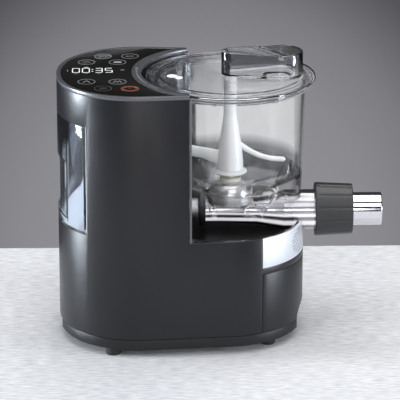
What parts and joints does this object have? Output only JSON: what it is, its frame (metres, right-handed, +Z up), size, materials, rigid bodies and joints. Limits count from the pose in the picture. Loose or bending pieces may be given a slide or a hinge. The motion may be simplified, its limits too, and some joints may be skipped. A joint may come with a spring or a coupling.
{
  "type": "electric pasta maker",
  "caption": "Counter-top pasta maker: motor column with touch panel, clear mixing bowl, screw extruder with side nozzle, drawer and storage box.",
  "frame": {"origin": "middle of the bounding box on the surface that the feet stand on", "axes": "+X the way the pasta leaves the nozzle, +Y towards the back, +Z up; the touch panel's column is at -X"},
  "size_m": [0.339, 0.186, 0.305],
  "materials": {
    "housing_grey": "satin",
    "foot_rubber": "matte",
    "black_gloss": "gloss",
    "black_matte": "matte",
    "trim_grey": "satin",
    "panel_glass": "gloss",
    "band_metal": "satin",
    "board_green": "matte",
    "can_steel": "satin",
    "winding_copper": "satin",
    "pinion_brass": "satin",
    "gearbox_alloy": "cast",
    "gear_ivory": "satin",
    "screw_steel": "polished",
    "clear_plastic": "gloss",
    "smoke_plastic": "gloss",
    "smoke_seal": "matte",
    "mixer_white": "gloss",
    "nut_black": "satin",
    "nozzle_chrome": "polished",
    "tray_grey": "satin"
  },
  "bodies": {
    "housing": {"base_pan": "housing_grey", "rubber_feet": "foot_rubber", "main_shell": "housing_grey", "bay_liner": "black_gloss", "horn_trims": "trim_grey", "top_bezel": "trim_grey", "control_glass": "panel_glass", "vent_band": "band_metal", "inlet_grommet": "foot_rubber", "storage_pocket": "black_gloss", "control_board": "board_green", "display_module": "black_matte", "power_board": "board_green", "lid_switch": "black_matte", "motor_can": "can_steel", "motor_stator": "winding_copper", "motor_end_bells": "can_steel", "fan_shroud": "black_matte", "gearbox_case": "gearbox_alloy", "gearbox_cover": "gearbox_alloy", "compound_pin": "can_steel", "output_bearings": "can_steel", "drive_boss": "black_matte", "base_screws": "can_steel", "motor_screws": "can_steel", "board_screws": "can_steel"},
    "output_drive": {"output_gear": "gear_ivory", "output_shaft": "screw_steel", "drive_coupling": "screw_steel"},
    "compound": {"compound_gear": "gear_ivory"},
    "rotor": {"motor_rotor": "can_steel", "motor_pinion": "pinion_brass", "cooling_fan": "black_matte"},
    "bowl_unit": {"bowl": "clear_plastic", "gear_dome": "clear_plastic", "dome_bush": "mixer_white", "dough_guide": "smoke_plastic", "extruder_barrel": "clear_plastic", "barrel_end_cap": "black_matte", "auger_bush": "gear_ivory"},
    "screw": {"auger": "screw_steel"},
    "mixer_unit": {"mixer": "mixer_white", "mixer_skirt": "mixer_white", "mixer_gear": "gear_ivory"},
    "lid_ring": {"lid_seal": "smoke_seal"},
    "lid_cover": {"lid": "clear_plastic"},
    "outlet": {"nozzle": "nozzle_chrome", "die_disc": "mixer_white"},
    "clamp_nut": {"ring_nut": "nut_black"},
    "storage": {"storage_box": "clear_plastic"},
    "drawer": {"drawer_front": "housing_grey", "drawer_tray": "tray_grey", "spare_dies": "mixer_white"}
  },
  "joints": [
    {"name": "drive_turn", "type": "hinge", "parent": "housing", "child": "output_drive", "pos_m": [-0.0898, 0, 0.1305], "axis": [1, 0, 0], "continuous": true},
    {"name": "compound_turn", "type": "hinge", "parent": "housing", "child": "compound", "pos_m": [-0.0998, 0.0271, 0.09088], "axis": [1, 0, 0], "continuous": true},
    {"name": "rotor_turn", "type": "hinge", "parent": "housing", "child": "rotor", "pos_m": [-0.0498, 0, 0.078], "axis": [1, 0, 0], "continuous": true},
    {"name": "bowl_slide", "type": "slide", "parent": "housing", "child": "bowl_unit", "axis": [1, 0, 0], "range_m": [0, 0.06]},
    {"name": "screw_turn", "type": "hinge", "parent": "bowl_unit", "child": "screw", "pos_m": [0.0102, 0, 0.1305], "axis": [1, 0, 0], "continuous": true},
    {"name": "mixer_turn", "type": "hinge", "parent": "bowl_unit", "child": "mixer_unit", "pos_m": [0.0102, 0, 0.2], "axis": [0, 0, 1], "continuous": true},
    {"name": "lid_lift", "type": "slide", "parent": "bowl_unit", "child": "lid_ring", "axis": [0, 0, 1], "range_m": [0, 0.08]},
    {"name": "lid_turn", "type": "hinge", "parent": "lid_ring", "child": "lid_cover", "pos_m": [0.0102, 0, 0.275], "axis": [0, 0, 1], "range_deg": [-25, 0]},
    {"name": "outlet_slide", "type": "slide", "parent": "bowl_unit", "child": "outlet", "axis": [1, 0, 0], "range_m": [0, 0.045]},
    {"name": "nut_turn", "type": "hinge", "parent": "outlet", "child": "clamp_nut", "pos_m": [0.1152, 0, 0.1305], "axis": [1, 0, 0], "continuous": true},
    {"name": "storage_slide", "type": "slide", "parent": "housing", "child": "storage", "axis": [-1, 0, 0], "range_m": [0, 0.07]},
    {"name": "drawer_slide", "type": "slide", "parent": "housing", "child": "drawer", "axis": [1, 0, 0], "range_m": [0, 0.06]}
  ],
  "couplings": [
    {"joint": "compound_turn", "follows": "drive_turn", "ratio": -3.5714},
    {"joint": "rotor_turn", "follows": "drive_turn", "ratio": 14.286},
    {"joint": "screw_turn", "follows": "drive_turn", "ratio": 1},
    {"joint": "mixer_turn", "follows": "drive_turn", "ratio": 0.5}
  ]
}
